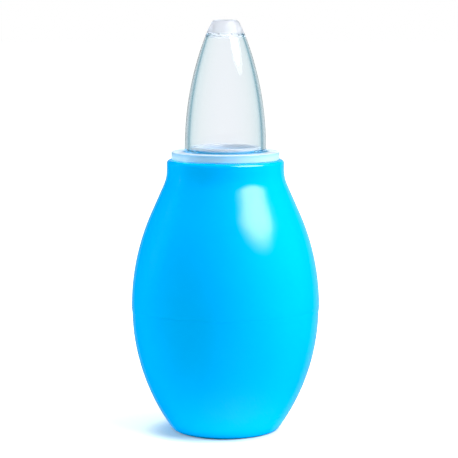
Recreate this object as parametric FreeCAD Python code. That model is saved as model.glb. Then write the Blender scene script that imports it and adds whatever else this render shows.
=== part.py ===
import FreeCAD, Part

# Bulb nasal aspirator for babies, in millimetres.
#
# A soft, egg-shaped squeeze bulb stands on a flat foot. A collar plugs into its neck, and a clear pointed
# nozzle pushes down into a ring groove in the collar. The nozzle ends in a frosted soft tip with the
# suction bore. The collar's standpipe rises a little above the nozzle's foot, so that what is drawn in stays
# in the nozzle. The bulb is one moulding. Its two pressed zones are cut free as separate solids, so that the
# squeeze can be driven.
#
# Every piece is turned about the Z axis. The origin is the middle of the foot, on the surface it stands on.
# The finger presses the front zone along +Y, and the thumb presses the back zone along -Y.

import math
import os

from FreeCAD import Vector

# Bulb, outside
BELLY_R = 25.0  # the widest radius
BELLY_Z = 33.0  # height of the widest ring
LOWER_ARC_R = 55.5  # outline below the belly
UPPER_ARC_R = 61.5  # outline above the belly
SHOULDER_Z = 58.0  # the upper arc runs into a straight cone here
NECK_R = 15.5
NECK_TOP_Z = 72.2
NECK_ROOT_ROUNDING = 9.0
NECK_RIM_ROUNDING = 0.9
FOOT_ROUNDING = 1.2
FOOT_RECESS_R = 9.4
FOOT_RECESS_DEPTH = 0.7

# Bulb, inside
WALL = 2.0
FLOOR_Z = 2.6  # top of the closed bottom
FLOOR_ROUNDING = 2.5
MOUTH_R = 12.85  # bore of the neck
MOUTH_ROOT_Z = 64.0  # lower end of that bore
MOUTH_LEAD_IN = 0.4

# Pressed zones, ovals seen along Y
PRESS_HEIGHT = 39.0
PRESS_WIDTH = 27.0
PRESS_Z = 36.0
PRESS_GAP = 0.2

# Collar
SEAT_GAP = 0.05  # between faces that rest on each other
FLANGE_R = 14.25
FLANGE_THICKNESS = 2.15
FLANGE_ROUNDING = 0.35
PLUG_R = 12.5
PLUG_BOTTOM_Z = 62.7
PLUG_LEAD_IN = 0.6
RIB_REACH = 0.3  # how far the sealing ribs stand out of the plug
RIB_SECTION_R = 0.6
RIB_HEIGHTS = (66.6, 70.2)
GROOVE_INNER_R = 9.3
GROOVE_OUTER_R = 10.35
GROOVE_FLOOR_Z = 65.4
STANDPIPE_BORE_R = 8.2
STANDPIPE_RISE = 1.3  # above the flange
STANDPIPE_ROUNDING = 0.3

# Nozzle
NOZZLE_R = 10.75  # widest, just above the collar
NOZZLE_ARC_R = 82.6
NOZZLE_ARC_Z = 75.1  # height of the widest ring
CHAMBER_R = 9.7
CHAMBER_ARC_R = 90.0
CHAMBER_TOP_Z = 104.5
CHAMBER_ROUNDING = 0.5
SKIRT_R = 10.3
SKIRT_BORE_R = 9.38
SKIRT_BOTTOM_Z = 65.6
SKIRT_LEAD_IN = 0.25
NIPPLE_Z = 105.45  # the shoulder that the soft tip sits on
NIPPLE_R = 3.0
NIPPLE_TOP_Z = 107.5
NIPPLE_BEAD_R = 0.45  # half-round bead that keys the tip to the nipple
NIPPLE_BEAD_Z = 106.7

# Soft tip
TIP_TOP_Z = 109.0
TIP_FOOT_R = 4.95
TIP_RIM_R = 3.38
TIP_RIM_Z = 108.75
TIP_ROUNDING = 1.2
BORE_R = 1.4
BORE_MOUTH_ROUNDING = 0.35

FLANGE_Z = NECK_TOP_Z + SEAT_GAP
FLANGE_TOP_Z = FLANGE_Z + FLANGE_THICKNESS
NOZZLE_FOOT_Z = FLANGE_TOP_Z + SEAT_GAP
STANDPIPE_TOP_Z = FLANGE_TOP_Z + STANDPIPE_RISE


def circle_radius(z, widest, arc_radius, widest_z):
    """Radius, at height z, of an outline that is an arc with its widest point at widest_z."""
    return widest - arc_radius + math.sqrt(arc_radius**2 - (z - widest_z) ** 2)


class Outline:
    """Lines and arcs in the plane of radius and height, turned about the Z axis into a solid."""

    def __init__(self, r, z):
        self.start = Vector(r, 0, z)
        self.end = self.start
        self.edges = []

    def line(self, r, z):
        new_end = Vector(r, 0, z)
        self.edges.append(Part.LineSegment(self.end, new_end).toShape())
        self.end = new_end
        return self

    def arc(self, r, z, centre_r, centre_z):
        """The shorter arc about the centre, to a point as far from it as the last one."""
        new_end = Vector(r, 0, z)
        centre = Vector(centre_r, 0, centre_z)
        to_middle = (self.end - centre) + (new_end - centre)
        middle = centre + to_middle.normalize() * (new_end - centre).Length
        self.edges.append(Part.Arc(self.end, middle, new_end).toShape())
        self.end = new_end
        return self

    def turned(self):
        if self.end.distanceToPoint(self.start) > 1e-6:
            self.line(self.start.x, self.start.z)
        face = Part.Face(Part.Wire(self.edges))
        return face.revolve(Vector(0, 0, 0), Vector(0, 0, 1), 360)


def ring_edges(solid, r, z):
    """The solid's round edges of radius r at height z, about the Z axis."""
    found = []
    for edge in solid.Edges:
        curve = edge.Curve
        if not isinstance(curve, Part.Circle):
            continue
        if abs(curve.Radius - r) < 0.01 and abs(curve.Center.z - z) < 0.01:
            found.append(edge)
    if not found:
        raise ValueError(f"no round edge of radius {r} at height {z}")
    return found


def rounded(solid, r, z, rounding):
    return solid.makeFillet(rounding, ring_edges(solid, r, z))


def chamfered(solid, r, z, size):
    return solid.makeChamfer(size, ring_edges(solid, r, z))


def whole_bulb():
    """The bulb as it is moulded: an egg-shaped shell with a closed foot and an open neck."""
    foot_r = circle_radius(0, BELLY_R, LOWER_ARC_R, BELLY_Z)
    shoulder_r = circle_radius(SHOULDER_Z, BELLY_R, UPPER_ARC_R, BELLY_Z)
    lower_centre = BELLY_R - LOWER_ARC_R
    upper_centre = BELLY_R - UPPER_ARC_R
    shoulder_slope = (SHOULDER_Z - BELLY_Z) / (shoulder_r - upper_centre)
    neck_root_z = SHOULDER_Z + (shoulder_r - NECK_R) / shoulder_slope

    inner_r = BELLY_R - WALL
    inner_lower_arc = LOWER_ARC_R - WALL
    inner_upper_arc = UPPER_ARC_R - WALL
    inner_shoulder_r = circle_radius(SHOULDER_Z, inner_r, inner_upper_arc, BELLY_Z)
    floor_r = circle_radius(FLOOR_Z, inner_r, inner_lower_arc, BELLY_Z)

    shell = Outline(0, FOOT_RECESS_DEPTH)
    shell.line(FOOT_RECESS_R - FOOT_RECESS_DEPTH, FOOT_RECESS_DEPTH)
    shell.line(FOOT_RECESS_R, 0)
    shell.line(foot_r, 0)
    shell.arc(BELLY_R, BELLY_Z, lower_centre, BELLY_Z)
    shell.arc(shoulder_r, SHOULDER_Z, upper_centre, BELLY_Z)
    shell.line(NECK_R, neck_root_z)
    shell.line(NECK_R, NECK_TOP_Z)
    shell.line(MOUTH_R, NECK_TOP_Z)
    shell.line(MOUTH_R, MOUTH_ROOT_Z)
    shell.line(inner_shoulder_r, SHOULDER_Z)
    shell.arc(inner_r, BELLY_Z, upper_centre, BELLY_Z)
    shell.arc(floor_r, FLOOR_Z, lower_centre, BELLY_Z)
    shell.line(0, FLOOR_Z)
    solid = shell.turned()
    solid = rounded(solid, foot_r, 0, FOOT_ROUNDING)
    solid = rounded(solid, NECK_R, neck_root_z, NECK_ROOT_ROUNDING)
    solid = rounded(solid, NECK_R, NECK_TOP_Z, NECK_RIM_ROUNDING)
    solid = rounded(solid, floor_r, FLOOR_Z, FLOOR_ROUNDING)
    return chamfered(solid, MOUTH_R, NECK_TOP_Z, MOUTH_LEAD_IN)


def press_column(side, growth=0.0):
    """Oval column from the axis out through the wall: side is -1 for the front one and 1 for the back one."""
    centre = Vector(0, 0, PRESS_Z)
    top = centre + Vector(0, 0, PRESS_HEIGHT / 2 + growth)
    flank = centre + Vector(PRESS_WIDTH / 2 + growth, 0, 0)
    oval = Part.Face(Part.Wire(Part.Ellipse(top, flank, centre).toShape()))
    return oval.extrude(Vector(0, side * (BELLY_R + WALL), 0))


def squeeze_bulb(bulb):
    """All of the bulb but the two pressed zones."""
    for side in (-1, 1):
        bulb = bulb.cut(press_column(side, PRESS_GAP))
    return bulb


def squeeze_wall(bulb, side):
    """A pressed zone of the bulb's wall, which gives way under a fingertip and springs back."""
    return bulb.common(press_column(side))


def nozzle_collar():
    """Flange and plug in one, with sealing ribs, a groove for the nozzle's skirt and an air standpipe."""
    collar = Outline(STANDPIPE_BORE_R, PLUG_BOTTOM_Z)
    collar.line(PLUG_R, PLUG_BOTTOM_Z)
    collar.line(PLUG_R, FLANGE_Z)
    collar.line(FLANGE_R, FLANGE_Z)
    collar.line(FLANGE_R, FLANGE_TOP_Z)
    collar.line(GROOVE_OUTER_R, FLANGE_TOP_Z)
    collar.line(GROOVE_OUTER_R, GROOVE_FLOOR_Z)
    collar.line(GROOVE_INNER_R, GROOVE_FLOOR_Z)
    collar.line(GROOVE_INNER_R, STANDPIPE_TOP_Z)
    collar.line(STANDPIPE_BORE_R, STANDPIPE_TOP_Z)
    solid = collar.turned()
    solid = chamfered(solid, PLUG_R, PLUG_BOTTOM_Z, PLUG_LEAD_IN)
    for z in (FLANGE_Z, FLANGE_TOP_Z):
        solid = rounded(solid, FLANGE_R, z, FLANGE_ROUNDING)
    for r in (GROOVE_INNER_R, STANDPIPE_BORE_R):
        solid = rounded(solid, r, STANDPIPE_TOP_Z, STANDPIPE_ROUNDING)
    for z in RIB_HEIGHTS:
        ring_r = PLUG_R + RIB_REACH - RIB_SECTION_R
        solid = solid.fuse(Part.makeTorus(ring_r, RIB_SECTION_R, Vector(0, 0, z)))
    return solid


def nozzle_cone():
    """Clear pointed chamber with a skirt for the collar's groove and a bored nipple under the soft tip."""
    outer_centre = NOZZLE_R - NOZZLE_ARC_R
    inner_centre = CHAMBER_R - CHAMBER_ARC_R
    foot_r = circle_radius(NOZZLE_FOOT_Z, NOZZLE_R, NOZZLE_ARC_R, NOZZLE_ARC_Z)
    shoulder_r = circle_radius(NIPPLE_Z, NOZZLE_R, NOZZLE_ARC_R, NOZZLE_ARC_Z)
    chamber_top_r = circle_radius(CHAMBER_TOP_Z, CHAMBER_R, CHAMBER_ARC_R, NOZZLE_ARC_Z)

    cone = Outline(SKIRT_BORE_R, SKIRT_BOTTOM_Z)
    cone.line(SKIRT_R, SKIRT_BOTTOM_Z)
    cone.line(SKIRT_R, NOZZLE_FOOT_Z)
    cone.line(foot_r, NOZZLE_FOOT_Z)
    cone.arc(shoulder_r, NIPPLE_Z, outer_centre, NOZZLE_ARC_Z)
    cone.line(NIPPLE_R, NIPPLE_Z)
    cone.line(NIPPLE_R, NIPPLE_TOP_Z)
    cone.line(BORE_R, NIPPLE_TOP_Z)
    cone.line(BORE_R, CHAMBER_TOP_Z)
    cone.line(chamber_top_r, CHAMBER_TOP_Z)
    cone.arc(CHAMBER_R, NOZZLE_ARC_Z, inner_centre, NOZZLE_ARC_Z)
    cone.line(SKIRT_BORE_R, NOZZLE_FOOT_Z)
    solid = cone.turned()
    solid = rounded(solid, chamber_top_r, CHAMBER_TOP_Z, CHAMBER_ROUNDING)
    for r in (SKIRT_R, SKIRT_BORE_R):
        solid = chamfered(solid, r, SKIRT_BOTTOM_Z, SKIRT_LEAD_IN)
    return solid.fuse(Part.makeTorus(NIPPLE_R, NIPPLE_BEAD_R, Vector(0, 0, NIPPLE_BEAD_Z)))


def soft_tip(cone):
    """Rounded soft cap, flush with the cone, moulded over its nipple and bored through."""
    dome_centre_z = TIP_TOP_Z - (TIP_RIM_R**2 + (TIP_TOP_Z - TIP_RIM_Z) ** 2) / (2 * (TIP_TOP_Z - TIP_RIM_Z))
    dome_r = TIP_TOP_Z - dome_centre_z
    mouth_z = dome_centre_z + math.sqrt(dome_r**2 - BORE_R**2)

    tip = Outline(BORE_R, NIPPLE_Z)
    tip.line(TIP_FOOT_R, NIPPLE_Z)
    tip.line(TIP_RIM_R, TIP_RIM_Z)
    tip.arc(BORE_R, mouth_z, 0, dome_centre_z)
    solid = tip.turned()
    solid = rounded(solid, TIP_RIM_R, TIP_RIM_Z, TIP_ROUNDING)
    solid = rounded(solid, BORE_R, mouth_z, BORE_MOUTH_ROUNDING)
    return solid.cut(cone)


def main():
    bulb = whole_bulb()
    cone = nozzle_cone()
    pieces = {
        "squeeze_bulb": squeeze_bulb(bulb),
        "squeeze_wall_front": squeeze_wall(bulb, -1),
        "squeeze_wall_back": squeeze_wall(bulb, 1),
        "nozzle_collar": nozzle_collar(),
        "nozzle_cone": cone,
        "soft_tip": soft_tip(cone),
    }
    os.makedirs("parts", exist_ok=True)
    for name, shape in pieces.items():
        if not shape.isValid() or len(shape.Solids) != 1:
            raise ValueError(f"{name} is not one valid solid")
        shape.exportStep(f"parts/{name}.step")
        box = shape.BoundBox
        print(f"{name}: {shape.Volume:.0f} mm3, {box.XLength:.1f} x {box.YLength:.1f} x {box.ZLength:.1f} mm")


main()
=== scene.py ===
import math

import bpy
from mathutils import Matrix, Vector


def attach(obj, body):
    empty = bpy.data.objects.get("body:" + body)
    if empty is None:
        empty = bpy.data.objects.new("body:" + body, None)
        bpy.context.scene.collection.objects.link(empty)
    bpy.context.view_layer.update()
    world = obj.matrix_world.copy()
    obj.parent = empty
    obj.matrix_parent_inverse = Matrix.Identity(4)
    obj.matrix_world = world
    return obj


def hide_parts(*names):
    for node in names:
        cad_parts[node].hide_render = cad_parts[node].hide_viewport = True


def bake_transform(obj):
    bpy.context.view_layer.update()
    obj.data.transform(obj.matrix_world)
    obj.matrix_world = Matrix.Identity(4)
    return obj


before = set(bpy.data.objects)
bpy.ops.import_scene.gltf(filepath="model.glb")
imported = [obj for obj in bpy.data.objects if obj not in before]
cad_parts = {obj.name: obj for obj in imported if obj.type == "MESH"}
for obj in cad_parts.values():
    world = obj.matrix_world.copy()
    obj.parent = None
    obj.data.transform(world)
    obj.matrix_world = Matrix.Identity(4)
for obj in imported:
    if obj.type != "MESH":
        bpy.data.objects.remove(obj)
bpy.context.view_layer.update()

# Looks for the bulb nasal aspirator, built round its CAD frame. Every piece is turned about the Z axis, and
# -Y is the front. Lengths are in millimetres until they are multiplied by MM. Heights are from the foot.

MM = 0.001

# Bulb, outside
BELLY_R = 25.0
BELLY_Z = 33.0
LOWER_ARC_R = 55.5
UPPER_ARC_R = 61.5
SHOULDER_Z = 58.0
NECK_R = 15.5
NECK_TOP_Z = 72.2
NECK_ROOT_ROUNDING = 9.0
NECK_RIM_ROUNDING = 0.9
FOOT_ROUNDING = 1.2
FOOT_RECESS_R = 9.4
FOOT_RECESS_DEPTH = 0.7
FOOT_RECESS_ROUNDING = 0.3
PARTING_LINE_WIDTH = 0.5
PARTING_LINE_DEPTH = 0.06

# Bulb, inside
WALL = 2.0
FLOOR_Z = 2.6
FLOOR_ROUNDING = 2.5
MOUTH_R = 12.85
MOUTH_ROOT_Z = 64.0
MOUTH_ROOT_ROUNDING = 1.0
MOUTH_LEAD_IN = 0.4
MOUTH_ROUNDING = 0.15

# Collar
SEAT_GAP = 0.05
FLANGE_R = 14.25
FLANGE_THICKNESS = 2.15
FLANGE_ROUNDING = 0.35
PLUG_R = 12.5
PLUG_BOTTOM_Z = 62.7
PLUG_LEAD_IN = 0.6
RIB_REACH = 0.3
RIB_HALF_HEIGHT = 0.52
RIB_ROOT_ROUNDING = 0.1
RIB_CREST_ROUNDING = 0.15
RIB_HEIGHTS = (66.6, 70.2)
GROOVE_INNER_R = 9.3
GROOVE_OUTER_R = 10.35
GROOVE_FLOOR_Z = 65.4
STANDPIPE_BORE_R = 8.2
STANDPIPE_RISE = 1.3
STANDPIPE_ROUNDING = 0.3

# Nozzle
NOZZLE_R = 10.75
NOZZLE_ARC_R = 82.6
NOZZLE_ARC_Z = 75.1
CHAMBER_R = 9.7
CHAMBER_ARC_R = 90.0
CHAMBER_TOP_Z = 104.5
CHAMBER_ROUNDING = 0.5
SKIRT_R = 10.3
SKIRT_BORE_R = 9.38
SKIRT_BOTTOM_Z = 65.6
SKIRT_LEAD_IN = 0.25
EDGE_ROUNDING = 0.12
NIPPLE_Z = 105.45
NIPPLE_R = 3.0
NIPPLE_TOP_Z = 107.5
NIPPLE_BEAD_R = 0.45
NIPPLE_BEAD_Z = 106.7
OUTSIDE_DEPTH = 0.1  # a face less deep than this in the cone's wall is on its outside

# Soft tip
TIP_TOP_Z = 109.0
TIP_FOOT_R = 4.95
TIP_RIM_R = 3.38
TIP_RIM_Z = 108.75
TIP_ROUNDING = 1.2
BORE_R = 1.4
BORE_MOUTH_ROUNDING = 0.35

FLANGE_Z = NECK_TOP_Z + SEAT_GAP
FLANGE_TOP_Z = FLANGE_Z + FLANGE_THICKNESS
NOZZLE_FOOT_Z = FLANGE_TOP_Z + SEAT_GAP
STANDPIPE_TOP_Z = FLANGE_TOP_Z + STANDPIPE_RISE

# Meshes
SMOOTH_TURN = math.radians(25)  # an outline that turns less than this at a point is smooth there
ROUNDING_STEP = math.radians(9)
ARC_STEP = 1.0
SEGMENTS = 256

# Colours. The tints of the clear and the frosted plastic go by the angle they are seen at: 0 is square on,
# and 1 is along the wall. The clear plastic's grey blue line, seen near edge on, is painted shade with
# painted blue light from the bulb, and the frosted plastic's darker rims are painted shade.
WHITE = (1, 1, 1, 1)
BULB_BLUE = (0.0, 0.335, 0.80, 1)
BULB_BLUE_LIGHTER = (0.0, 0.365, 0.83, 1)
# Painted shade, with painted blue light from the bulb, where the clear wall is seen near edge on.
PAINTED_EDGE_LINE = (0.12, 0.29, 0.38)
CLEAR_TINTS_PAINTED_EDGE = (
    (0.0, (0.93, 0.955, 0.98)),
    (0.2, (0.85, 0.92, 0.93)),
    (0.4, (0.68, 0.84, 0.87)),
    (0.48, (0.45, 0.68, 0.76)),
    (0.54, PAINTED_EDGE_LINE),
    (0.59, PAINTED_EDGE_LINE),
    (0.68, (0.42, 0.62, 0.74)),
    (0.8, (0.8, 0.92, 1.0)),
)
# Painted shade: the frosted tip darkens towards its rims.
FROSTED_TINTS_PAINTED_RIMS = (
    (0.0, (0.78, 0.78, 0.79)),
    (0.55, (0.76, 0.76, 0.78)),
    (0.8, (0.62, 0.64, 0.68)),
    (1.0, (0.5, 0.54, 0.6)),
)
# Milky tints up the collar's height, with painted bands: a painted highlight along the flange's lower edge,
# painted blue under its top edge and painted grey shade on the standpipe.
MILKY_HEIGHTS = (70.0, 76.0)
MILKY_TINTS_PAINTED_BANDS = (  # up the collar, over these heights
    (0.32, (0.45, 0.62, 0.72)),
    (0.38, (0.75, 0.97, 1.0)),
    (0.56, (0.6, 0.78, 0.88)),
    (0.7, (0.36, 0.66, 0.88)),
    (0.73, (0.88, 0.91, 0.95)),
    (0.8, (0.68, 0.68, 0.7)),
    (1.0, (0.55, 0.54, 0.55)),
)
# Painted light: a ring of the bulb's blue, painted on the collar where the blue would show through the clear
# plastic.
PAINTED_RING_BLUE = (0.0, 0.32, 0.56, 1)
RING_INNER_EDGE = (8.9, 9.25)  # the collar's blue ring comes in over these radii
RING_OUTER_EDGE = (10.9, 11.7)  # and goes out over these
RING_TOP_EDGE = (74.5, 75.2)  # and over these heights
CLEAR_SHADOW = (0.9, 0.93, 0.96, 1)  # the part of a lamp's light that a see-through wall lets by
HAZE_SPREAD = (0.8, 1.2)  # such a wall's roughness strays between these parts of its own value

# Studio. Brightness is in units of the white that just clips.
ROOM_FRONT = 0.08
ROOM_BACK = 0.83
BACKDROP_TOWARDS = (0.14, 1.0, -0.2)  # mirrored in the rims of the bulb
BACKDROP_EDGE = (0.77, 1.04)  # the backdrop comes up between these projections on that direction
BACKDROP_GLOWS = (0.01, 0.55)
BACKDROP_COLOUR = (0.8, 0.97, 1.0, 1)
FLOOR_HALF_WIDTH = 4000.0
# Pale, with a painted blue green cast that shows in the floor's shade as the bulb's bounced blue light.
FLOOR_COLOUR_PAINTED_BOUNCE = (0.7, 0.8, 0.76, 1)
FOOT = (0.0, 0.0, 0.0)
SHED_CENTRE = (4.0, -8.0, 0.0)  # the glow that the floor sheds on the object, near this point and far off
SHED_REACH = (12.0, 34.0)
SHED_GLOWS = (1.36, 0.19)
DARK_RING_REACH = (14.2, 16.5)  # round the foot, where the floor sheds none
SEEN_REACH = (30.0, 150.0)  # the glow that the camera sees, on top of the light that falls on the floor
SEEN_GLOWS = (0.45, 0.85)
# A painted shadow: the floor's glow that the camera sees is darkened round this centre.
PAINTED_SHADOW_CENTRE = (-2.5, -3.5, 0.0)  # the soft shadow beside the foot, away from the key
PAINTED_SHADOW_REACH = (12.5, 21.5)
LAMP_DISTANCE = 600.0
LAMP_AIM_Z = 55.0
CAMERA_PLACE = (0.0, -500.0, 116.0)
CAMERA_AIM = (0.0, 0.0, 54.0)
CAMERA_LENS = 149.2
CAMERA_SENSOR = 36.0
CAMERA_SHIFT = (0.0078, -0.0025)
RED_CURVE = ((0.022, 0.0), (0.12, 0.105), (0.3, 0.3))  # what becomes of red in the picture


# ---- Outlines and meshes ----


def swing(centre, first, last, steps):
    """Points along the shorter arc about the centre, from first to last."""
    start = first - centre
    turn = start.angle_signed(last - centre)
    return [centre + Matrix.Rotation(-turn * k / steps, 2) @ start for k in range(steps + 1)]


class Outline:
    """A turned piece's section: its corners, as (radius, height), with the material on their left."""

    def __init__(self, r, z):
        self.corners = [(Vector((r, z)), 0.0)]

    def line(self, r, z, rounding=0.0):
        """Straight to a corner, which is rounded or sharp."""
        self.corners.append((Vector((r, z)), rounding))

    def arc(self, r, z, centre_r, centre_z, rounding=0.0):
        """Along a circle about the centre, to a corner that lies on it."""
        centre = Vector((centre_r, centre_z))
        first = self.corners[-1][0]
        last = Vector((r, z))
        steps = max(2, math.ceil((last - first).length / ARC_STEP))
        self.corners += [(point, 0.0) for point in swing(centre, first, last, steps)[1:-1]]
        self.line(r, z, rounding)

    def points(self):
        """All the outline's points, with each rounded corner as a short arc."""
        found = []
        count = len(self.corners)
        for i, (corner, rounding) in enumerate(self.corners):
            if not rounding:
                found.append(corner)
                continue
            before = (self.corners[i - 1][0] - corner).normalized()
            after = (self.corners[(i + 1) % count][0] - corner).normalized()
            half = before.angle(after) / 2
            middle = corner + (before + after).normalized() * rounding / math.sin(half)
            reach = rounding / math.tan(half)
            steps = max(3, round((math.pi - 2 * half) / ROUNDING_STEP))
            found += swing(middle, corner + before * reach, corner + after * reach, steps)
        return found


def corner_normals(points, closed):
    """For each stretch of the outline, the normal at its start and at its end."""
    count = len(points)
    stretches = count if closed else count - 1
    across = []
    for i in range(stretches):
        along = (points[(i + 1) % count] - points[i]).normalized()
        across.append(Vector((along.y, -along.x)))
    pairs = []
    for i in range(stretches):
        ends = []
        for other in (i - 1, i + 1):
            if not closed and not 0 <= other < stretches:
                ends.append(across[i])
                continue
            beside = across[other % stretches]
            smooth = across[i].angle(beside) < SMOOTH_TURN
            ends.append((across[i] + beside).normalized() if smooth else across[i])
        pairs.append(ends)
    return pairs


def turned(name, outline, segments=SEGMENTS, sweep=(0.0, 360.0)):
    """A clean closed mesh, with exact normals: the outline turned about Z.

    For a whole turn, the outline is a loop. For half a turn, it runs from the axis to the axis, and one flat
    face closes the cut.
    """
    whole = sweep[1] - sweep[0] == 360.0
    points = outline.points()
    normals = corner_normals(points, closed=whole)
    first, last = (math.radians(angle) for angle in sweep)
    angles = [first + (last - first) * j / segments for j in range(segments + (not whole))]
    directions = [Vector((math.cos(angle), math.sin(angle), 0)) for angle in angles]

    verts = []
    rings = []
    for point in points:
        on_axis = point.x < 1e-6
        ring = []
        for j, direction in enumerate(directions):
            if j and on_axis:
                ring.append(ring[0])
                continue
            ring.append(len(verts))
            verts.append((direction * max(point.x, 0) + Vector((0, 0, point.y))) * MM)
        rings.append(ring)

    faces = []
    loop_normals = []
    for i, (start_normal, end_normal) in enumerate(normals):
        k = (i + 1) % len(points)
        for j in range(segments):
            m = (j + 1) % len(angles)
            corners = ((i, j, start_normal), (i, m, start_normal), (k, m, end_normal), (k, j, end_normal))
            face = []
            for a, b, normal in corners:
                if rings[a][b] in face:
                    continue
                face.append(rings[a][b])
                loop_normals.append(directions[b] * normal.x + Vector((0, 0, normal.y)))
            faces.append(face)
    if not whole:
        cut = [ring[0] for ring in rings] + [ring[-1] for ring in reversed(rings)][1:-1]
        faces.append(cut)
        loop_normals += [Vector((0, 0, 1)).cross(directions[-1])] * len(cut)

    mesh = bpy.data.meshes.new(name)
    mesh.from_pydata(verts, [], faces)
    mesh.shade_smooth()
    mesh.normals_split_custom_set(loop_normals)
    piece = bpy.data.objects.new(name, mesh)
    bpy.context.scene.collection.objects.link(piece)
    return piece


# ---- Node trees ----


class Nodes:
    """A short way to write a node tree."""

    def __init__(self, owner):
        owner.use_nodes = True
        self.tree = owner.node_tree
        self.tree.nodes.clear()

    def add(self, kind, inputs=(), **settings):
        node = self.tree.nodes.new(kind)
        for key, value in settings.items():
            setattr(node, key, value)
        for key, value in dict(inputs).items():
            if isinstance(value, bpy.types.NodeSocket):
                self.tree.links.new(value, node.inputs[key])
            else:
                node.inputs[key].default_value = value
        return node


def new_material(name):
    material = bpy.data.materials.new(name)
    return material, Nodes(material)


def in_metres(values):
    return tuple(value * MM for value in values)


def noise(nodes, place, scale, detail, roughness=0.5):
    """Noise from 0 to 1. Its scale is in lumps per metre."""
    return nodes.add(
        "ShaderNodeTexNoise", {"Vector": place, "Scale": scale, "Detail": detail, "Roughness": roughness}
    ).outputs["Fac"]


def change(nodes, value, reach, ends, interpolation="LINEAR"):
    """From the first end to the second as the value goes over its reach, and steady beyond it."""
    return nodes.add(
        "ShaderNodeMapRange",
        {"Value": value, "From Min": reach[0], "From Max": reach[1], "To Min": ends[0], "To Max": ends[1]},
        interpolation_type=interpolation,
    ).outputs["Result"]


def change_from(nodes, place, centre, reach, ends):
    """A smooth change with the distance from a centre."""
    distance = nodes.add("ShaderNodeVectorMath", {0: place, 1: in_metres(centre)}, operation="DISTANCE")
    return change(nodes, distance.outputs["Value"], in_metres(reach), ends, "SMOOTHSTEP")


def product(nodes, first, second):
    return nodes.add("ShaderNodeMath", {0: first, 1: second}, operation="MULTIPLY").outputs[0]


def ramp(nodes, value, stops):
    """Colours against a value from 0 to 1."""
    node = nodes.add("ShaderNodeValToRGB", {"Fac": value})
    elements = node.color_ramp.elements
    while len(elements) < len(stops):
        elements.new(1.0)
    for element, (place, tint) in zip(elements, stops):
        element.position = place
        element.color = (*tint, 1)
    return node.outputs["Color"]


# ---- Materials ----


def bulb_plastic():
    """Satin soft PVC: saturated cyan blue, with a fine moulded stipple and faint clouding."""
    material, nodes = new_material("bulb_soft_pvc")
    place = nodes.add("ShaderNodeTexCoord").outputs["Object"]
    stipple = noise(nodes, place, 2600.0, 3.0, 0.6)
    ripple = noise(nodes, place, 260.0, 2.0)
    clouds = noise(nodes, place, 70.0, 4.0)
    colour = nodes.add(
        "ShaderNodeMix", {"Factor": clouds, "A": BULB_BLUE, "B": BULB_BLUE_LIGHTER}, data_type="RGBA"
    )
    waves = nodes.add("ShaderNodeBump", {"Height": ripple, "Strength": 0.5, "Distance": 0.06 * MM})
    grain = nodes.add(
        "ShaderNodeBump",
        {"Height": stipple, "Strength": 0.5, "Distance": 0.04 * MM, "Normal": waves.outputs["Normal"]},
    )
    shader = nodes.add(
        "ShaderNodeBsdfPrincipled",
        {
            "Base Color": colour.outputs[2],
            "Roughness": change(nodes, clouds, (0.0, 1.0), (0.17, 0.21)),
            "Specular IOR Level": 0.55,
            "IOR": 1.5,
            "Normal": grain.outputs["Normal"],
        },
    )
    nodes.add("ShaderNodeOutputMaterial", {"Surface": shader.outputs["BSDF"]})
    return material


def see_through(material, nodes, colour, roughness, ior, transmission, reflection):
    """Finishes a clear or translucent plastic. It lets lamps through, so that it casts no black shadow."""
    place = nodes.add("ShaderNodeTexCoord").outputs["Object"]
    haze = noise(nodes, place, 300.0, 3.0)
    flow = noise(nodes, place, 90.0, 2.0)
    waves = nodes.add("ShaderNodeBump", {"Height": flow, "Strength": 0.4, "Distance": 0.05 * MM})
    shader = nodes.add(
        "ShaderNodeBsdfPrincipled",
        {
            "Base Color": colour,
            "Roughness": change(nodes, haze, (0.0, 1.0), [roughness * part for part in HAZE_SPREAD]),
            "IOR": ior,
            "Transmission Weight": transmission,
            "Specular Tint": (*reflection, 1),
            "Normal": waves.outputs["Normal"],
        },
    )
    gone = nodes.add("ShaderNodeBsdfTransparent", {"Color": CLEAR_SHADOW})
    shadow_ray = nodes.add("ShaderNodeLightPath").outputs["Is Shadow Ray"]
    both = nodes.add("ShaderNodeMixShader", {0: shadow_ray, 1: shader.outputs[0], 2: gone.outputs[0]})
    nodes.add("ShaderNodeOutputMaterial", {"Surface": both.outputs[0]})
    return material


def clear_outside():
    """Polished clear styrene, with a painted line of grey blue where the wall is seen almost edge on: painted
    shade and painted blue light from the bulb.
    """
    material, nodes = new_material("nozzle_clear_styrene")
    tint = ramp(nodes, nodes.add("ShaderNodeLayerWeight").outputs["Facing"], CLEAR_TINTS_PAINTED_EDGE)
    return see_through(
        material, nodes, tint, roughness=0.02, ior=1.5, transmission=1.0, reflection=(0.25, 0.28, 0.3)
    )


def clear_inside():
    """The same styrene on the chamber's side."""
    material, nodes = new_material("nozzle_clear_inside")
    tint = (0.94, 0.958, 0.98, 1)
    return see_through(
        material, nodes, tint, roughness=0.02, ior=1.5, transmission=1.0, reflection=(1.0, 1.0, 1.0)
    )


def matt_land():
    """The moulding's dull land under the tip, which closes the chamber."""
    material, nodes = new_material("nozzle_matt_land")
    tint = (0.97, 0.98, 1.0, 1)
    return see_through(
        material, nodes, tint, roughness=0.5, ior=1.3, transmission=0.92, reflection=(0.2, 0.2, 0.2)
    )


def matt_skirt():
    """The skirt's ground fit, painted bluish: painted light standing for the blue of the bulb's neck round
    it, seen through the collar.
    """
    material, nodes = new_material("nozzle_matt_skirt")
    tint = (0.5, 0.78, 0.92, 1)
    return see_through(
        material, nodes, tint, roughness=0.35, ior=1.4, transmission=0.75, reflection=(0.3, 0.3, 0.3)
    )


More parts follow.
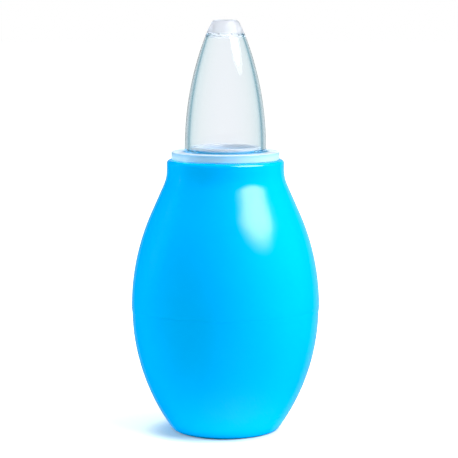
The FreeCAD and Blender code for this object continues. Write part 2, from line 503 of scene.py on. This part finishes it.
def frosted_tip():
    """Frosted soft elastomer, with painted shade that makes it darker towards its rims."""
    material, nodes = new_material("tip_frosted_elastomer")
    tint = ramp(nodes, nodes.add("ShaderNodeLayerWeight").outputs["Facing"], FROSTED_TINTS_PAINTED_RIMS)
    return see_through(
        material, nodes, tint, roughness=0.4, ior=1.41, transmission=0.87, reflection=(0.3, 0.3, 0.3)
    )


def collar_plastic():
    """Milky polypropylene, with painted light: a ring of the bulb's blue round the groove, where it is thin,
    and bands up its height of painted highlight, painted blue and painted grey shade.
    """
    material, nodes = new_material("collar_polypropylene")
    place = nodes.add("ShaderNodeTexCoord").outputs["Object"]
    height = nodes.add("ShaderNodeSeparateXYZ", {0: place}).outputs["Z"]
    level = nodes.add("ShaderNodeVectorMath", {0: place, 1: (1, 1, 0)}, operation="MULTIPLY")
    radius = nodes.add("ShaderNodeVectorMath", {0: level.outputs[0]}, operation="LENGTH").outputs["Value"]
    below = change(nodes, height, in_metres(RING_TOP_EDGE), (1.0, 0.0))
    within = change(nodes, radius, in_metres(RING_OUTER_EDGE), (1.0, 0.0))
    beyond = change(nodes, radius, in_metres(RING_INNER_EDGE), (0.0, 1.0))
    # The mask of the painted blue ring.
    ring = product(nodes, product(nodes, below, within), beyond)
    # Milky tints, with painted bands of highlight, blue and shade up the height.
    milky_painted_bands = ramp(nodes, change(nodes, height, in_metres(MILKY_HEIGHTS), (0.0, 1.0)), MILKY_TINTS_PAINTED_BANDS)
    tint = nodes.add("ShaderNodeMix", {"Factor": ring, "A": milky_painted_bands, "B": PAINTED_RING_BLUE}, data_type="RGBA")
    return see_through(
        material,
        nodes,
        tint.outputs[2],
        roughness=0.3,
        ior=1.49,
        transmission=0.5,
        reflection=(0.3, 0.3, 0.3),
    )


# ---- Pieces ----


def circle_radius(z, widest, arc_radius, widest_z=BELLY_Z):
    """How wide a piece is at a height where its outline is an arc."""
    return widest - arc_radius + math.sqrt(arc_radius**2 - (z - widest_z) ** 2)


def bulb_outline():
    foot_r = circle_radius(0, BELLY_R, LOWER_ARC_R)
    shoulder_r = circle_radius(SHOULDER_Z, BELLY_R, UPPER_ARC_R)
    lower_centre = BELLY_R - LOWER_ARC_R
    upper_centre = BELLY_R - UPPER_ARC_R
    slope = (SHOULDER_Z - BELLY_Z) / (shoulder_r - upper_centre)
    neck_root_z = SHOULDER_Z + (shoulder_r - NECK_R) / slope
    inner_r = BELLY_R - WALL
    inner_shoulder_r = circle_radius(SHOULDER_Z, inner_r, UPPER_ARC_R - WALL)
    floor_r = circle_radius(FLOOR_Z, inner_r, LOWER_ARC_R - WALL)
    half_line = PARTING_LINE_WIDTH / 2

    shell = Outline(0, FOOT_RECESS_DEPTH)
    shell.line(FOOT_RECESS_R - FOOT_RECESS_DEPTH, FOOT_RECESS_DEPTH, FOOT_RECESS_ROUNDING)
    shell.line(FOOT_RECESS_R, 0, FOOT_RECESS_ROUNDING)
    shell.line(foot_r, 0, FOOT_ROUNDING)
    shell.arc(BELLY_R, BELLY_Z - half_line, lower_centre, BELLY_Z - half_line)
    shell.line(BELLY_R - PARTING_LINE_DEPTH, BELLY_Z)
    shell.line(BELLY_R, BELLY_Z + half_line)
    shell.arc(shoulder_r, SHOULDER_Z, upper_centre, BELLY_Z)
    shell.line(NECK_R, neck_root_z, NECK_ROOT_ROUNDING)
    shell.line(NECK_R, NECK_TOP_Z, NECK_RIM_ROUNDING)
    shell.line(MOUTH_R + MOUTH_LEAD_IN, NECK_TOP_Z, MOUTH_ROUNDING)
    shell.line(MOUTH_R, NECK_TOP_Z - MOUTH_LEAD_IN, MOUTH_ROUNDING)
    shell.line(MOUTH_R, MOUTH_ROOT_Z, MOUTH_ROOT_ROUNDING)
    shell.line(inner_shoulder_r, SHOULDER_Z)
    shell.arc(inner_r, BELLY_Z, upper_centre, BELLY_Z)
    shell.arc(floor_r, FLOOR_Z, lower_centre, BELLY_Z, FLOOR_ROUNDING)
    shell.line(0, FLOOR_Z)
    return shell


def squeeze_bulb(material):
    """The bulb's skin in a front and a back half, which meet at y = 0. They take the place of the CAD's bulb
    and pressed walls, which are hidden.
    """
    for word, side, sweep in (("front", -1, (180.0, 360.0)), ("back", 1, (0.0, 180.0))):
        half = turned(f"bulb_{word}", bulb_outline(), SEGMENTS // 2, sweep)
        half.data.materials.append(material)
        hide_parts("squeeze_bulb", f"squeeze_wall_{word}")
        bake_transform(half)


def rib(outline, z):
    """Sealing rib round the plug, drawn from below."""
    outline.line(PLUG_R, z - RIB_HALF_HEIGHT, RIB_ROOT_ROUNDING)
    outline.line(PLUG_R + RIB_REACH, z - RIB_HALF_HEIGHT / 3, RIB_CREST_ROUNDING)
    outline.line(PLUG_R + RIB_REACH, z + RIB_HALF_HEIGHT / 3, RIB_CREST_ROUNDING)
    outline.line(PLUG_R, z + RIB_HALF_HEIGHT, RIB_ROOT_ROUNDING)


def nozzle_collar(material):
    """Flange and plug in one, with sealing ribs, a groove for the nozzle's skirt and an air standpipe."""
    shape = Outline(STANDPIPE_BORE_R, PLUG_BOTTOM_Z)
    shape.line(PLUG_R - PLUG_LEAD_IN, PLUG_BOTTOM_Z, EDGE_ROUNDING)
    shape.line(PLUG_R, PLUG_BOTTOM_Z + PLUG_LEAD_IN, EDGE_ROUNDING)
    for z in RIB_HEIGHTS:
        rib(shape, z)
    shape.line(PLUG_R, FLANGE_Z, EDGE_ROUNDING)
    shape.line(FLANGE_R, FLANGE_Z, FLANGE_ROUNDING)
    shape.line(FLANGE_R, FLANGE_TOP_Z, FLANGE_ROUNDING)
    shape.line(GROOVE_OUTER_R, FLANGE_TOP_Z, EDGE_ROUNDING)
    shape.line(GROOVE_OUTER_R, GROOVE_FLOOR_Z, EDGE_ROUNDING)
    shape.line(GROOVE_INNER_R, GROOVE_FLOOR_Z, EDGE_ROUNDING)
    shape.line(GROOVE_INNER_R, STANDPIPE_TOP_Z, STANDPIPE_ROUNDING)
    shape.line(STANDPIPE_BORE_R, STANDPIPE_TOP_Z, STANDPIPE_ROUNDING)
    piece = turned("collar", shape)
    piece.data.materials.append(material)
    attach(piece, "collar")
    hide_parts("nozzle_collar")


def nozzle_cone(outside, inside, land, skirt):
    """Clear pointed chamber, with a skirt for the collar's groove and a beaded nipple under the soft tip."""
    outer_centre = NOZZLE_R - NOZZLE_ARC_R
    inner_centre = CHAMBER_R - CHAMBER_ARC_R
    foot_r = circle_radius(NOZZLE_FOOT_Z, NOZZLE_R, NOZZLE_ARC_R, NOZZLE_ARC_Z)
    shoulder_r = circle_radius(NIPPLE_Z, NOZZLE_R, NOZZLE_ARC_R, NOZZLE_ARC_Z)
    chamber_top_r = circle_radius(CHAMBER_TOP_Z, CHAMBER_R, CHAMBER_ARC_R, NOZZLE_ARC_Z)

    shape = Outline(SKIRT_BORE_R, SKIRT_BOTTOM_Z + SKIRT_LEAD_IN)
    shape.line(SKIRT_BORE_R + SKIRT_LEAD_IN, SKIRT_BOTTOM_Z)
    shape.line(SKIRT_R - SKIRT_LEAD_IN, SKIRT_BOTTOM_Z)
    shape.line(SKIRT_R, SKIRT_BOTTOM_Z + SKIRT_LEAD_IN)
    shape.line(SKIRT_R, NOZZLE_FOOT_Z, EDGE_ROUNDING)
    shape.line(foot_r, NOZZLE_FOOT_Z, EDGE_ROUNDING)
    shape.arc(shoulder_r, NIPPLE_Z, outer_centre, NOZZLE_ARC_Z, EDGE_ROUNDING)
    shape.line(NIPPLE_R, NIPPLE_Z, EDGE_ROUNDING)
    shape.line(NIPPLE_R, NIPPLE_BEAD_Z - NIPPLE_BEAD_R)
    shape.arc(NIPPLE_R, NIPPLE_BEAD_Z + NIPPLE_BEAD_R, NIPPLE_R, NIPPLE_BEAD_Z)
    shape.line(NIPPLE_R, NIPPLE_TOP_Z, EDGE_ROUNDING)
    shape.line(BORE_R, NIPPLE_TOP_Z, EDGE_ROUNDING)
    shape.line(BORE_R, CHAMBER_TOP_Z, EDGE_ROUNDING)
    shape.line(chamber_top_r, CHAMBER_TOP_Z, CHAMBER_ROUNDING)
    shape.arc(CHAMBER_R, NOZZLE_ARC_Z, inner_centre, NOZZLE_ARC_Z)
    shape.line(SKIRT_BORE_R, NOZZLE_FOOT_Z)
    piece = turned("nozzle", shape)

    materials = (outside, inside, land, skirt)
    for material in materials:
        piece.data.materials.append(material)
    for face in piece.data.polygons:
        middle = face.center / MM
        wall_r = circle_radius(min(middle.z, NIPPLE_Z), NOZZLE_R, NOZZLE_ARC_R, NOZZLE_ARC_Z)
        if middle.z < NOZZLE_FOOT_Z + EDGE_ROUNDING:
            chosen = skirt
        elif middle.xy.length > wall_r - OUTSIDE_DEPTH:
            chosen = outside
        elif middle.z > CHAMBER_TOP_Z - CHAMBER_ROUNDING:
            chosen = land
        else:
            chosen = inside
        face.material_index = materials.index(chosen)
    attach(piece, "nozzle")
    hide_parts("nozzle_cone")


def soft_tip(material):
    """Rounded soft cap, flush with the cone, moulded over its nipple and bored through."""
    dome_height = TIP_TOP_Z - TIP_RIM_Z
    dome_r = (TIP_RIM_R**2 + dome_height**2) / (2 * dome_height)
    dome_centre_z = TIP_TOP_Z - dome_r
    mouth_z = dome_centre_z + math.sqrt(dome_r**2 - BORE_R**2)

    shape = Outline(NIPPLE_R, NIPPLE_Z)
    shape.line(TIP_FOOT_R, NIPPLE_Z, EDGE_ROUNDING)
    shape.line(TIP_RIM_R, TIP_RIM_Z, TIP_ROUNDING)
    shape.arc(BORE_R, mouth_z, 0, dome_centre_z, BORE_MOUTH_ROUNDING)
    shape.line(BORE_R, NIPPLE_TOP_Z)
    shape.line(NIPPLE_R, NIPPLE_TOP_Z)
    shape.line(NIPPLE_R, NIPPLE_BEAD_Z + NIPPLE_BEAD_R)
    shape.arc(NIPPLE_R, NIPPLE_BEAD_Z - NIPPLE_BEAD_R, NIPPLE_R, NIPPLE_BEAD_Z)
    piece = turned("tip", shape)
    piece.data.materials.append(material)
    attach(piece, "nozzle")
    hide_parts("soft_tip")


# ---- Studio ----


def white_room():
    """The surroundings, which light the object more from behind than from in front.

    The object's gloss mirrors only a pale backdrop. The camera sees plain white, past the object and through
    the clear plastic.
    """
    world = bpy.data.worlds.new("studio")
    world.cycles.sampling_method = "NONE"
    bpy.context.scene.world = world
    nodes = Nodes(world)
    way = nodes.add("ShaderNodeTexCoord").outputs["Generated"]
    depth = nodes.add("ShaderNodeSeparateXYZ", {0: way}).outputs["Y"]
    fill = change(nodes, depth, (0.0, 1.0), (ROOM_FRONT, ROOM_BACK))
    behind = nodes.add("ShaderNodeVectorMath", {0: way, 1: BACKDROP_TOWARDS}, operation="DOT_PRODUCT")
    backdrop = change(nodes, behind.outputs["Value"], BACKDROP_EDGE, BACKDROP_GLOWS)
    shed, mirrored, seen = (
        nodes.add("ShaderNodeBackground", {"Color": colour, "Strength": strength}).outputs[0]
        for colour, strength in ((WHITE, fill), (BACKDROP_COLOUR, backdrop), (WHITE, 1.0))
    )
    path = nodes.add("ShaderNodeLightPath").outputs
    directly = nodes.add(
        "ShaderNodeMath", {0: path["Is Camera Ray"], 1: path["Is Transmission Ray"]}, operation="MAXIMUM"
    )
    unseen = nodes.add("ShaderNodeMixShader", {0: path["Is Glossy Ray"], 1: shed, 2: mirrored})
    whole = nodes.add("ShaderNodeMixShader", {0: directly.outputs[0], 1: unseen.outputs[0], 2: seen})
    nodes.add("ShaderNodeOutputWorld", {"Surface": whole.outputs[0]})


def white_floor():
    """A wide pale floor that glows, as a lit white table does, and lights the object round its foot.

    The camera sees another glow on it, with a painted soft shadow beside the foot. Clear plastic sees plain
    white.
    """
    half = FLOOR_HALF_WIDTH * MM
    corners = [(-half, -half, 0), (half, -half, 0), (half, half, 0), (-half, half, 0)]
    mesh = bpy.data.meshes.new("floor")
    mesh.from_pydata(corners, [], [(0, 1, 2, 3)])
    floor = bpy.data.objects.new("floor", mesh)
    bpy.context.scene.collection.objects.link(floor)
    paint, nodes = new_material("floor_white")
    mesh.materials.append(paint)
    place = nodes.add("ShaderNodeTexCoord").outputs["Object"]
    path = nodes.add("ShaderNodeLightPath").outputs
    shed = product(
        nodes,
        change_from(nodes, place, SHED_CENTRE, SHED_REACH, SHED_GLOWS),
        change_from(nodes, place, FOOT, DARK_RING_REACH, (0.0, 1.0)),
    )
    # What the camera sees: a glow, darkened by a painted shadow beside the foot.
    seen = product(
        nodes,
        change_from(nodes, place, FOOT, SEEN_REACH, SEEN_GLOWS),
        change_from(nodes, place, PAINTED_SHADOW_CENTRE, PAINTED_SHADOW_REACH, (0.0, 1.0)),
    )
    glow = nodes.add(
        "ShaderNodeMix", {"Factor": path["Is Camera Ray"], "A": shed, "B": seen}, data_type="FLOAT"
    )
    shader = nodes.add(
        "ShaderNodeBsdfPrincipled",
        {
            # Pale, with a painted blue green cast standing in for the bulb's bounced light.
            "Base Color": FLOOR_COLOUR_PAINTED_BOUNCE,
            "Roughness": 0.6,
            "Specular IOR Level": 0.0,
            "Emission Color": WHITE,
            "Emission Strength": glow.outputs[0],
        },
    )
    plain = nodes.add("ShaderNodeEmission", {"Color": WHITE, "Strength": 1.0})
    surface = nodes.add(
        "ShaderNodeMixShader", {0: path["Is Transmission Ray"], 1: shader.outputs[0], 2: plain.outputs[0]}
    )
    nodes.add("ShaderNodeOutputMaterial", {"Surface": surface.outputs[0]})
    floor.visible_glossy = False


def round_lamp(name, azimuth, elevation, half_angle, radiance, mirrored=False):
    """Round softbox aimed at the bulb. Azimuth 0 is at the camera's side, and 90 is on the right.

    A lamp that isn't mirrored lights the object with no highlight on gloss or in clear plastic.
    """
    a = math.radians(azimuth)
    e = math.radians(elevation)
    towards = Vector((math.sin(a) * math.cos(e), -math.cos(a) * math.cos(e), math.sin(e)))
    distance = LAMP_DISTANCE * MM
    radius = distance * math.tan(math.radians(half_angle))
    data = bpy.data.lights.new(name, "AREA")
    data.shape = "DISK"
    data.size = 2 * radius
    data.energy = radiance * math.pi * math.pi * radius**2
    lamp = bpy.data.objects.new(name, data)
    lamp.location = Vector((0, 0, LAMP_AIM_Z * MM)) + towards * distance
    lamp.rotation_euler = towards.to_track_quat("Z", "Y").to_euler()
    lamp.visible_camera = False
    lamp.visible_glossy = mirrored
    lamp.visible_transmission = mirrored
    bpy.context.scene.collection.objects.link(lamp)


def camera():
    data = bpy.data.cameras.new("camera")
    data.lens = CAMERA_LENS
    data.sensor_width = CAMERA_SENSOR
    data.shift_x, data.shift_y = CAMERA_SHIFT
    data.clip_start = 10 * MM
    place = Vector(in_metres(CAMERA_PLACE))
    aim = Vector(in_metres(CAMERA_AIM))
    view = bpy.data.objects.new("camera", data)
    view.location = place
    view.rotation_euler = (aim - place).to_track_quat("-Z", "Y").to_euler()
    bpy.context.scene.collection.objects.link(view)
    bpy.context.scene.camera = view


def deepen_blue(settings):
    """Takes the faint red that gloss adds to the bulb down to zero, and leaves stronger red as it is."""
    settings.use_curve_mapping = True
    red = settings.curve_mapping.curves[0]
    for place, value in RED_CURVE:
        red.points.new(place, value)
    for point in red.points:
        point.handle_type = "VECTOR"
    settings.curve_mapping.update()


squeeze_bulb(bulb_plastic())
nozzle_collar(collar_plastic())
nozzle_cone(clear_outside(), clear_inside(), matt_land(), matt_skirt())
soft_tip(frosted_tip())
white_room()
white_floor()
round_lamp("key_softbox", azimuth=60, elevation=48.5, half_angle=24, radiance=9.6, mirrored=True)
round_lamp("left_softbox", azimuth=-105, elevation=15, half_angle=18, radiance=10.4)
round_lamp("right_softbox", azimuth=100, elevation=15, half_angle=18, radiance=4.6)
round_lamp("top_softbox", azimuth=0, elevation=85, half_angle=25, radiance=1.6)
camera()
scene = bpy.context.scene
scene.view_settings.view_transform = "Standard"
deepen_blue(scene.view_settings)
